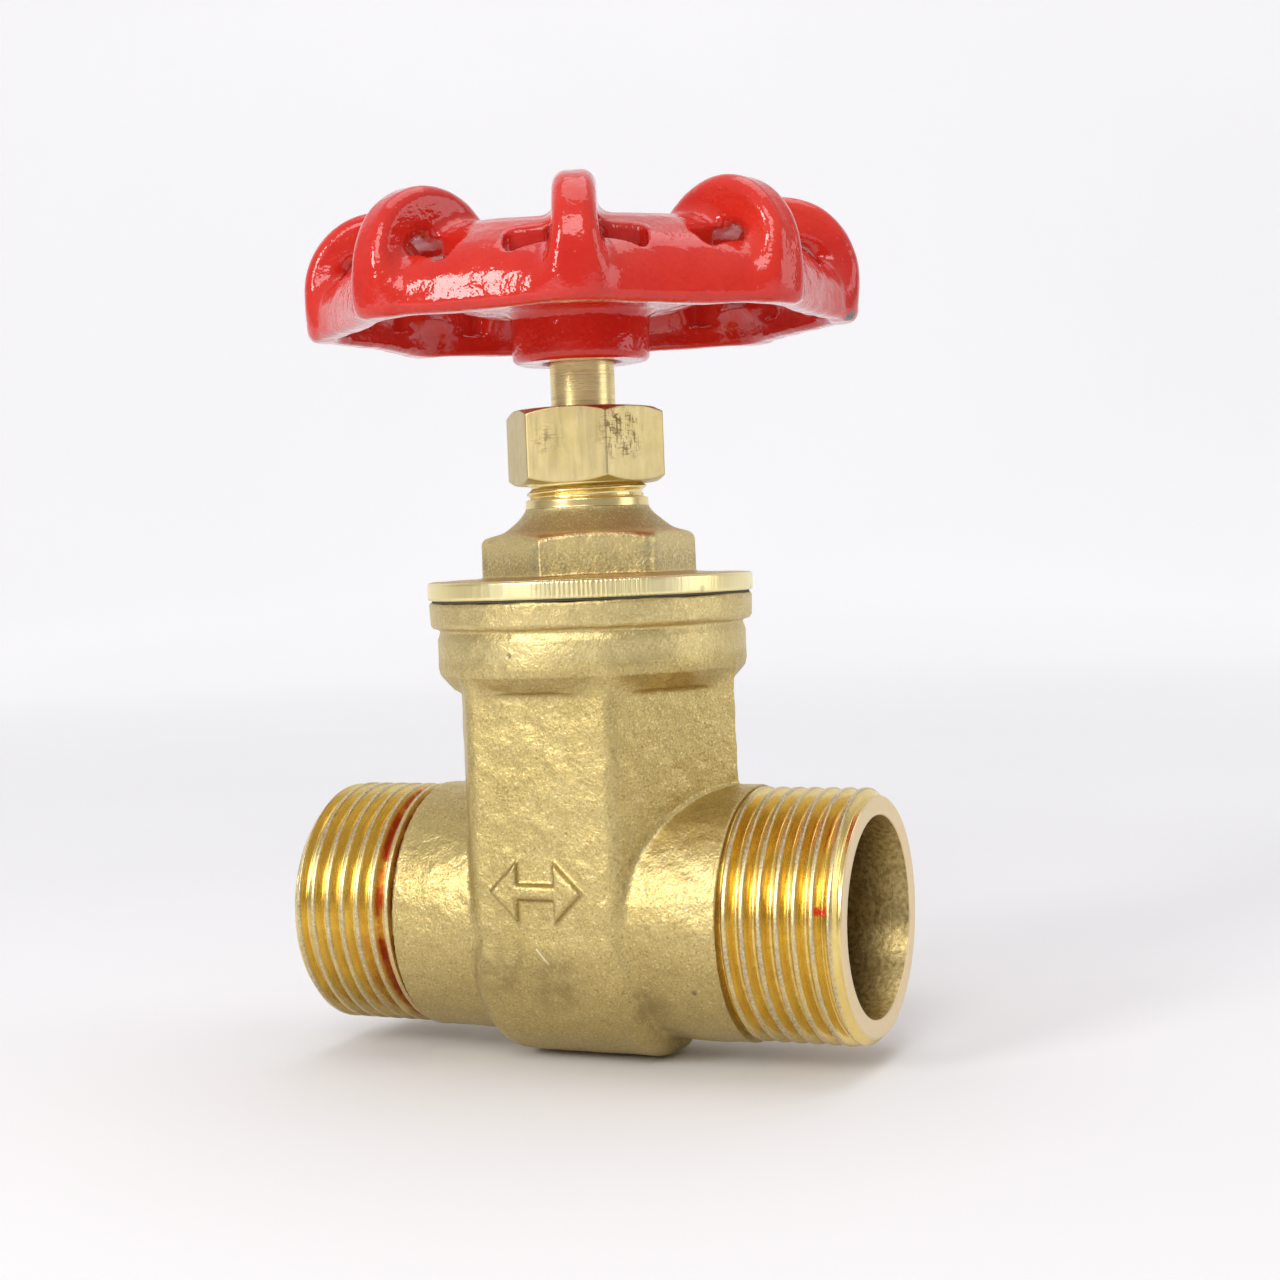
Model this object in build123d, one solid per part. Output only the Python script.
from build123d import *
import os
from math import cos, sin, tan, pi, radians, sqrt

# Gate valve, 1 inch, male-threaded ends, non-rising stem, solid wedge.
# Frame: origin where the flow axis (X) crosses the stem axis (Z); +Z towards the handwheel.
# All dimensions in millimetres.

# ---- ports and body ----
HALF_LENGTH = 39.5          # flow axis half length, end face to end face 79
THREAD_R = 16.62            # 1 inch pipe thread, major radius
PORT_BORE_R = 13.1
PORT_CAST_R = 16.9          # cast cylinder between thread and neck
PORT_CAST_X = 22.9          # where the thread starts
END_CHAMFER = 1.2
SEAT_BORE_R = 12.5          # waterway at the seats
NECK_R = 20.6               # hexagonal neck, across corners / 2
NECK_ROUND = 2.75
SLAB_X = 12.0               # lower pocket, half thickness along the flow
SLAB_R = 17.84              # its half width and the radius of its bottom
SLAB_CZ = -1.8
BAND2_R, BAND2_Z0, BAND2_Z1 = 20.9, 33.0, 38.35
BAND1_R, BAND1_Z0, BODY_TOP = 21.8, 38.6, 42.3
BONNET_THREAD_R = 18.25
# ---- wedge and its chamber ----
WEDGE_R = 14.4
WEDGE_HALF = 7.0            # half thickness at the flow axis
WEDGE_TAPER = 5.0           # degrees, each face
SEAT_GAP = 0.05
CHAMBER_R = 15.4
CHAMBER_X = 9.6
BOSS_TOP = 19.2
LIFT = 27.0
STEM_PITCH = 3.0            # left-hand thread, so that anticlockwise opens
# ---- stem ----
STEM_R = 4.35
STEM_THREAD_R = 4.9
STEM_END = 12.8
COLLAR_R, COLLAR_Z0, COLLAR_Z1 = 7.0, 49.6, 51.4
SQUARE = 6.3
SQUARE_TOP = 82.6           # just below the hub's top, so that the nut clamps the wheel
STEM_TOP = 91.6
STUB_R = 3.0
# ---- bonnet ----
FLANGE_R, FLANGE_Z0, FLANGE_Z1 = 22.0, 42.6, 45.0
BONNET_HEX_AF = 25.7
NECK2_R = 8.1
NECK2_TOP = 63.4
STUFF_R, STUFF_Z = 6.3, 56.2
# ---- gland ----
NUT_AF, NUT_Z0, NUT_Z1 = 19.0, 57.6, 67.6
# ---- handwheel ----
WHEEL_CORNER_R = 38.0
WHEEL_SIDE_R = 33.9
WHEEL_Z0 = 78.0
WHEEL_TURN = -65.7          # azimuth of one lobe, degrees
DECK_Z = 90.9
LOOP_TOP = 95.1
LOOP_W = 5.4
HUB_R, HUB_Z0, HUB_TOP = 9.3, 73.9, 83.0
LOBE_ROUND = 3.0

os.makedirs("parts", exist_ok=True)


def rev(points):
    """Solid of revolution about Z from (r, z) points."""
    face = make_face(Polyline(*[(r, z) for r, z in points], close=True))
    return revolve(Plane.XZ * face, Axis.Z)


def ring(ro, ri, z0, z1):
    return rev([(ri, z0), (ro, z0), (ro, z1), (ri, z1)])


def rod(r, z0, z1):
    return Pos(0, 0, z0) * Cylinder(r, z1 - z0, align=(Align.CENTER, Align.CENTER, Align.MIN))


def hexagon(circum_r, turn=0.0, round_r=0.0):
    pts = [(circum_r * cos(radians(turn + 60 * k)), circum_r * sin(radians(turn + 60 * k))) for k in range(6)]
    f = make_face(Polyline(*pts, close=True))
    if round_r:
        f = fillet(f.vertices(), round_r)
    return f


def xrod(r, x0, x1):
    """Cylinder about the flow axis."""
    return Pos(x0, 0, 0) * Rot(0, 90, 0) * Cylinder(r, x1 - x0, align=(Align.CENTER, Align.CENTER, Align.MIN))


def xrev(points):
    """Solid of revolution about the flow axis from (x, r) points."""
    face = make_face(Polyline(*[(x, r) for x, r in points], close=True))
    return revolve(Plane.XY * face, Axis.X)


def u_profile(half_w, bottom_c, top):
    """Face in YZ: straight sides down to a round bottom."""
    s = Polyline((-half_w, bottom_c), (-half_w, top), (half_w, top), (half_w, bottom_c)) + \
        ThreePointArc((half_w, bottom_c), (0, bottom_c - half_w), (-half_w, bottom_c))
    return Plane.YZ * make_face(s)


def u_solid(half_w, bottom_c, top, half_x):
    return extrude(u_profile(half_w, bottom_c, top), amount=half_x, both=True)


made = {}


def save(name, shape):
    solids = shape.solids()
    out = solids[0] if len(solids) == 1 else Compound(children=list(solids))
    made[name] = out
    export_step(out, f"parts/{name}.step")


# ================= body =================
neck = extrude(hexagon(NECK_R, 0, NECK_ROUND), amount=BAND2_Z0 + 0.4)
slab = u_solid(SLAB_R, SLAB_CZ, 6.0, SLAB_X)
slab = fillet([e for e in slab.edges() if abs(abs(e.center().X) - SLAB_X) < 0.01 and e.center().Z < 5.0], 2.9)
port_profile = [(-HALF_LENGTH, 0), (-HALF_LENGTH, THREAD_R - END_CHAMFER), (-HALF_LENGTH + END_CHAMFER, THREAD_R),
                (-PORT_CAST_X, THREAD_R), (-PORT_CAST_X + 0.1, PORT_CAST_R), (PORT_CAST_X - 0.1, PORT_CAST_R),
                (PORT_CAST_X, THREAD_R), (HALF_LENGTH - END_CHAMFER, THREAD_R),
                (HALF_LENGTH, THREAD_R - END_CHAMFER), (HALF_LENGTH, 0)]
ports = xrev(port_profile)
bands = rev([(0, 31.9), (19.6, 31.9), (BAND2_R, 33.2), (BAND2_R, BAND2_Z1), (BAND2_R - 0.3, 38.45),
             (BAND1_R - 0.3, BAND1_Z0), (BAND1_R, BAND1_Z0 + 0.3), (BAND1_R, BODY_TOP - 0.2), (BAND1_R - 0.2, BODY_TOP), (0, BODY_TOP)])
body = neck + slab + ports + bands

# chamber: flat-sided U pocket at the seats, round above them, bonnet thread at the top
chamber = u_solid(CHAMBER_R, 0.0, 33.0, CHAMBER_X)
upper = rev([(0, 17.5), (CHAMBER_X, 17.5), (CHAMBER_R, 21.0), (CHAMBER_R, 32.9), (0, 32.9)])
thread_bore = rod(BONNET_THREAD_R + 0.03, 32.6, BODY_TOP + 1)
seats = xrod(WEDGE_R, -CHAMBER_X - 1, CHAMBER_X + 1)
t = tan(radians(WEDGE_TAPER))


def taper_slab(half0, z0, z1, half_y):
    """Wedge-shaped slab: half thickness half0 at z = 0, growing upwards."""
    pts = [(-(half0 + z0 * t), z0), (half0 + z0 * t, z0), (half0 + z1 * t, z1), (-(half0 + z1 * t), z1)]
    return extrude(Plane.XZ * make_face(Polyline(*pts, close=True)), amount=half_y, both=True)


seat_rings = seats - taper_slab(WEDGE_HALF + SEAT_GAP, -30, 30, 40)
seat_rings = seat_rings & u_solid(60, 0, 60, CHAMBER_X + 0.5)
cut = (chamber + upper) - seat_rings
# guide ribs on the chamber's side walls
rib = Pos(0, CHAMBER_R, 14.0) * Box(3.0, 3.6, 30.0)
ribs = rib + mirror(rib, Plane.XZ)
cut = cut - ribs
body = body - cut - thread_bore - xrod(SEAT_BORE_R, -30, 30)
for s in (-1, 1):
    x0, x1 = sorted((s * 13.0, s * (HALF_LENGTH + 1)))
    body = body - xrod(PORT_BORE_R, x0, x1)
save("body", body)

# ================= gasket =================
save("bonnet_gasket", ring(21.5, BONNET_THREAD_R + 0.1, BODY_TOP, FLANGE_Z0))

# ================= bonnet =================
hex_r = BONNET_HEX_AF / 2 / cos(radians(30))
flange = rev([(0, FLANGE_Z0), (FLANGE_R - 0.2, FLANGE_Z0), (FLANGE_R, FLANGE_Z0 + 0.2), (FLANGE_R, FLANGE_Z1 - 0.35),
              (FLANGE_R - 0.5, FLANGE_Z1), (15.0, FLANGE_Z1 + 0.45), (0, FLANGE_Z1 + 0.45)])
hexpart = Pos(0, 0, FLANGE_Z1) * extrude(hexagon(hex_r, 30 - 0.6, 1.75), amount=8.0)
hexpart = hexpart & rev([(0, 44), (16, 44), (16, 49.6), (14.2, 50.9), (12.9, 51.3), (0, 51.3)])
cone_pts = [(0, 51.0), (12.9, 51.0)]
for k in range(0, 9):
    a = k / 8
    # concave flare from the hexagon's shoulder to the plain band
    cone_pts.append((12.9 - 4.4 * (1 - (1 - a) ** 1.7), 51.3 + 3.0 * a ** 1.15))
cone_pts += [(8.35, 54.3), (8.3, 55.6), (NECK2_R, 55.7), (NECK2_R, NECK2_TOP - 0.5), (NECK2_R - 0.5, NECK2_TOP), (0, NECK2_TOP)]
cone = rev(cone_pts)
spigot = rod(BONNET_THREAD_R, 33.4, FLANGE_Z0 + 0.5)
bonnet = flange + hexpart + cone + spigot
inner = rev([(0, 33.0), (15.4, 33.0), (15.2, 38.5), (13.6, 42.0), (10.6, 45.2), (9.6, 46.5), (0, 46.5)])
bonnet = bonnet - inner - rod(9.02, 46.0, COLLAR_Z0 - 0.45) - rod(7.35, 46.0, COLLAR_Z1 + 0.45) \
    - rod(STEM_R + 0.06, 50.0, 60.0) - rod(STUFF_R, STUFF_Z, 70.0)
save("bonnet", bonnet)

# ================= stem and its thrust parts =================
sq = Pos(0, 0, 74.6) * Box(SQUARE, SQUARE, SQUARE_TOP - 74.6, align=(Align.CENTER, Align.CENTER, Align.MIN))
sq = sq & rod(STEM_R, 74.0, 90.0)
stem = rev([(0, STEM_END), (STEM_THREAD_R - 0.9, STEM_END), (STEM_THREAD_R, STEM_END + 0.9), (STEM_THREAD_R, 45.0),
            (3.9, 45.9), (3.9, 46.4), (STEM_R, 46.8), (STEM_R, COLLAR_Z0), (COLLAR_R, COLLAR_Z0), (COLLAR_R, COLLAR_Z1), (STEM_R, COLLAR_Z1),
            (STEM_R, 74.6), (0, 74.6)]) + sq + rev([(0, 82.0), (STUB_R, 82.0), (STUB_R, STEM_TOP - 0.5), (STUB_R - 0.5, STEM_TOP), (0, STEM_TOP)])
stem = stem & rod(12, 0, 200)
save("stem", stem)
save("thrust_washer_lower", ring(6.95, STEM_R + 0.15, COLLAR_Z0 - 0.42, COLLAR_Z0 - 0.02))
save("thrust_washer_upper", ring(6.95, STEM_R + 0.15, COLLAR_Z1 + 0.02, COLLAR_Z1 + 0.42))
rr = ring(9.0, 5.2, 46.9, COLLAR_Z0 - 0.45)
for a in (0, 90):
    # spanner slots across the underside
    rr = rr - Rot(0, 0, a) * Pos(0, 0, 46.9) * Box(20, 2.2, 1.6)
save("stem_retaining_ring", rr)

# ================= wedge =================
disc = xrod(WEDGE_R, -12, 12)
boss = Pos(0, 0, 9.6) * Box(30, 15.0, 19.2)
boss = boss & rod(9.4, -1, BOSS_TOP)
wedge = (disc + boss) & taper_slab(WEDGE_HALF, -20, 24, 30)
# the stem's hole goes right through, because the stem reaches down inside the raised wedge
wedge = wedge - rod(STEM_THREAD_R + 0.04, -20.0, 30)
for s in (-1, 1):
    # guide slots and the hollow between the two faces
    wedge = wedge - Pos(0, s * 15.0, 4.0) * Box(3.6, 3.4, 46.0)
save("gate_wedge", wedge)

# ================= stuffing box =================
save("packing_washer", ring(STUFF_R - 0.05, STEM_R + 0.08, STUFF_Z, STUFF_Z + 0.8))
PACK0 = STUFF_Z + 0.8
PH = 1.65
for i, n in enumerate(("lower", "middle", "upper")):
    save(f"packing_ring_{n}", ring(STUFF_R - 0.02, STEM_R + 0.02, PACK0 + i * PH, PACK0 + (i + 1) * PH))
PACK1 = PACK0 + 3 * PH
save("gland_follower", rev([(STEM_R + 0.06, PACK1), (STUFF_R - 0.06, PACK1), (STUFF_R - 0.06, 64.6), (7.7, 64.6), (7.7, 65.5),
                            (STEM_R + 0.06, 65.5)]))
nut_r = NUT_AF / 2 / cos(radians(30))
nut = Pos(0, 0, NUT_Z0) * extrude(hexagon(nut_r, 30 - 79.5 % 60, 0.25), amount=NUT_Z1 - NUT_Z0)
nut = nut & rev([(0, NUT_Z0), (9.55, NUT_Z0), (nut_r + 0.1, NUT_Z0 + 0.9), (nut_r + 0.1, NUT_Z1 - 0.9), (9.45, NUT_Z1), (0, NUT_Z1)])
nut = nut - rod(NECK2_R + 0.03, NUT_Z0 - 1, 65.5) - rod(STEM_R + 0.25, 60, 70) \
    - rev([(0, NUT_Z0 - 0.1), (NECK2_R + 0.7, NUT_Z0 - 0.1), (NECK2_R, NUT_Z0 + 0.6), (0, NUT_Z0 + 0.6)])
save("gland_nut", nut)

# ================= handwheel =================
# plan outline: eight rounded lobes with shallow hollows between them
def wheel_outline(off=0.0):
    n = 8
    corner_r = WHEEL_CORNER_R + 0.45 - off
    side_r = WHEEL_SIDE_R - off
    edges = []
    for k in range(n):
        a0 = radians(WHEEL_TURN + 45 * k)
        am = radians(WHEEL_TURN + 45 * k + 22.5)
        a1 = radians(WHEEL_TURN + 45 * (k + 1))
        edges.append(ThreePointArc((corner_r * cos(a0), corner_r * sin(a0)), (side_r * cos(am), side_r * sin(am)),
                                   (corner_r * cos(a1), corner_r * sin(a1))))
    f = make_face(edges)
    return fillet(f.vertices(), LOBE_ROUND)


outer = Pos(0, 0, WHEEL_Z0) * extrude(wheel_outline(), amount=20)
outer = outer & rev([(0, 77), (40, 77), (40, 81.4), (38.2, 82.6), (36.0, 83.8), (33.4, 85.1), (31.0, 86.7), (28.6, 88.4), (26.2, 89.9), (24.2, 90.7),
                     (22.4, DECK_Z), (20.6, DECK_Z - 0.1), (18.9, 90.0), (17.4, 88.0), (15.6, 84.4), (13.4, HUB_TOP), (0, HUB_TOP)])
inner_w = Pos(0, 0, WHEEL_Z0 - 1) * extrude(wheel_outline(2.9), amount=20)
inner_w = inner_w & rev([(0, 70), (40, 70), (40, 78.6), (35.4, 80.4), (32.6, 81.9), (30.2, 83.6), (27.8, 85.3), (25.6, 86.7), (23.6, 87.4),
                         (21.8, 87.2), (20.2, 85.9), (18.6, 83.4), (17.4, 81.2), (15.8, 79.5), (13.6, 78.75), (HUB_R + 0.5, 78.6), (HUB_R, 78.2), (HUB_R, 70), (0, 70)])
wheel = outer - inner_w
hub = rev([(0, HUB_Z0), (HUB_R - 0.4, HUB_Z0), (HUB_R, HUB_Z0 + 0.5), (HUB_R, 81.0), (0, 81.0)])
wheel = wheel + hub


def loop():
    """Arched rib standing on one lobe, in the XZ plane, lobe along +X."""
    top = make_face(Polyline((37.6, 80.6), (37.6, 83.5), (37.3, 86.0), (35.6, 89.6), (33.2, 92.4), (30.6, 94.3), (27.8, LOOP_TOP), (25.6, 94.9),
                             (23.2, 93.9), (21.2, 92.5), (19.4, 90.6), (21.0, 89.6), (23.6, 90.2), (25.2, 89.9), (27.0, 89.8),
                             (29.0, 89.2), (31.0, 88.0), (32.3, 86.6), (33.2, 84.6), (35.4, 83.4), (35.4, 80.6), close=True))
    return extrude(Plane.XZ * top, amount=LOOP_W / 2, both=True)


slot_w, slot_r0, slot_r1 = 18.0, 23.2, 31.2
for k in range(8):
    a = WHEEL_TURN + 45 * k
    slot = Rot(0, 0, a) * Pos((slot_r0 + slot_r1) / 2, 0, 88) * Box(slot_r1 - slot_r0, slot_w, 16)
    wheel = wheel - slot
for k in range(8):
    a = WHEEL_TURN + 45 * k
    wheel = wheel + Rot(0, 0, a) * loop()
wheel = wheel - rod(5.2, HUB_Z0 - 1, 74.65) - Pos(0, 0, 74.0) * Box(SQUARE + 0.1, SQUARE + 0.1, 30, align=(Align.CENTER, Align.CENTER, Align.MIN))
save("handwheel", wheel)

# ================= handwheel fastening =================
disc_z = HUB_TOP
save("identity_disc", ring(10.5, STUB_R + 0.2, disc_z, disc_z + 0.5))
save("handwheel_washer", ring(7.2, STUB_R + 0.2, disc_z + 0.5, disc_z + 1.7))
lw = ring(5.6, STUB_R + 0.2, disc_z + 1.7, disc_z + 3.1)
lw = lw - Pos(4.4, 0, disc_z + 2.4) * Rot(0, 0, 0) * Box(3.4, 0.7, 2.0)
save("handwheel_lock_washer", lw)
hn = Pos(0, 0, disc_z + 3.1) * extrude(hexagon(10.0 / 2 / cos(radians(30)), 20), amount=4.6)
hn = hn & rev([(0, disc_z + 3.1), (5.1, disc_z + 3.1), (5.9, disc_z + 3.7), (5.9, disc_z + 7.1), (5.0, disc_z + 7.7), (0, disc_z + 7.7)])
hn = hn - rod(STUB_R + 0.03, disc_z, disc_z + 10)
save("handwheel_nut", hn)

for n, s in made.items():
    b = s.bounding_box()
    print(f"{n:24s} solids {len(s.solids())} vol {s.volume:9.1f}  z {b.min.Z:6.2f} {b.max.Z:6.2f}")
